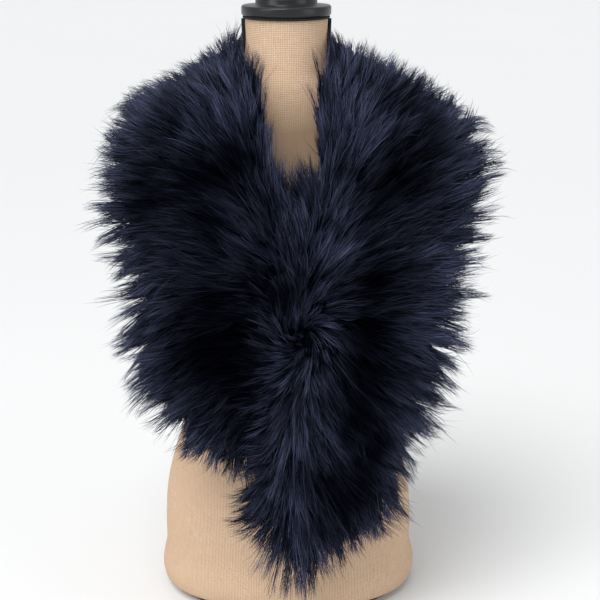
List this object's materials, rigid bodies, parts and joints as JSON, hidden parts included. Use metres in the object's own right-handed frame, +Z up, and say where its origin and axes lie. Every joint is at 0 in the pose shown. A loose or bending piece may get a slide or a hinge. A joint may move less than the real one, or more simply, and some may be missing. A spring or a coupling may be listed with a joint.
{
  "type": "fur collar wrap on dress form",
  "caption": "Long-pile faux fur collar wrap, worn round the neck and crossed in front, on a limbless burlap dress form with a turned neck cap.",
  "frame": {"origin": "middle of the whole's bounding box at its underside, on which the dress form stands", "axes": "+Z up, the front of the form faces -Y, +X towards the wearer's left"},
  "size_m": [0.5522, 0.3467, 0.8288],
  "materials": {
    "navy_fur": "long-pile faux fur, near black at the roots and slate navy at the tips",
    "burlap": "plain-woven natural burlap, bare",
    "black_piping": "matt black corded piping",
    "black_lacquer": "turned wood in semi-gloss black lacquer",
    "board_black": "flat board painted satin black"
  },
  "bodies": {
    "root": {"fur_back_neck": "navy_fur", "fur_front_under": "navy_fur", "fur_front_over": "navy_fur", "form_torso": "burlap", "piping_neck_edge": "black_piping", "piping_side_left": "black_piping", "piping_side_right": "black_piping", "neck_cap": "black_lacquer", "base_board": "board_black"}
  },
  "joints": []
}
